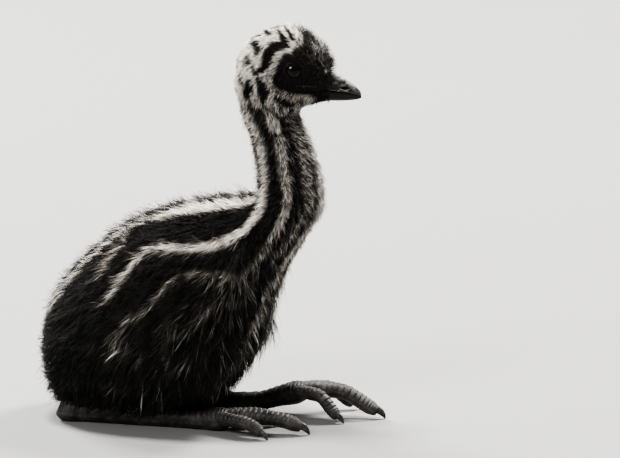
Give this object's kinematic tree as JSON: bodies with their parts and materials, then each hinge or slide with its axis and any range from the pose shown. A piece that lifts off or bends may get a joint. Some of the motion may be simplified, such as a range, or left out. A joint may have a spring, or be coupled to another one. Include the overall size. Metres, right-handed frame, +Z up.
{
  "type": "emu chick, sitting",
  "caption": "Life-size emu chick sitting with its neck up: striped down, short bill, folded legs and scaly feet with claws.",
  "frame": {"origin": "on the floor under the middle of the chick's box", "axes": "+X the way the body faces, +Y the bird's left, +Z up"},
  "size_m": [0.214, 0.117, 0.2512],
  "materials": {
    "down": "soft striped down",
    "bill": "satin horn",
    "eye": "wet gloss",
    "scaly_skin": "dry scutes",
    "claw": "satin horn"
  },
  "bodies": {
    "root": {"torso": "down", "tail": "down", "neck_lower": "down", "neck_upper": "down", "head": "down", "bill_upper": "bill", "bill_lower": "bill", "eye_left": "eye", "wing_left": "down", "thigh_left": "down", "tarsus_left": "scaly_skin", "toe_inner_left": "scaly_skin", "claw_inner_left": "claw", "toe_middle_left": "scaly_skin", "claw_middle_left": "claw", "toe_outer_left": "scaly_skin", "claw_outer_left": "claw", "eye_right": "eye", "wing_right": "down", "thigh_right": "down", "tarsus_right": "scaly_skin", "toe_inner_right": "scaly_skin", "claw_inner_right": "claw", "toe_middle_right": "scaly_skin", "claw_middle_right": "claw", "toe_outer_right": "scaly_skin", "claw_outer_right": "claw"}
  },
  "joints": []
}
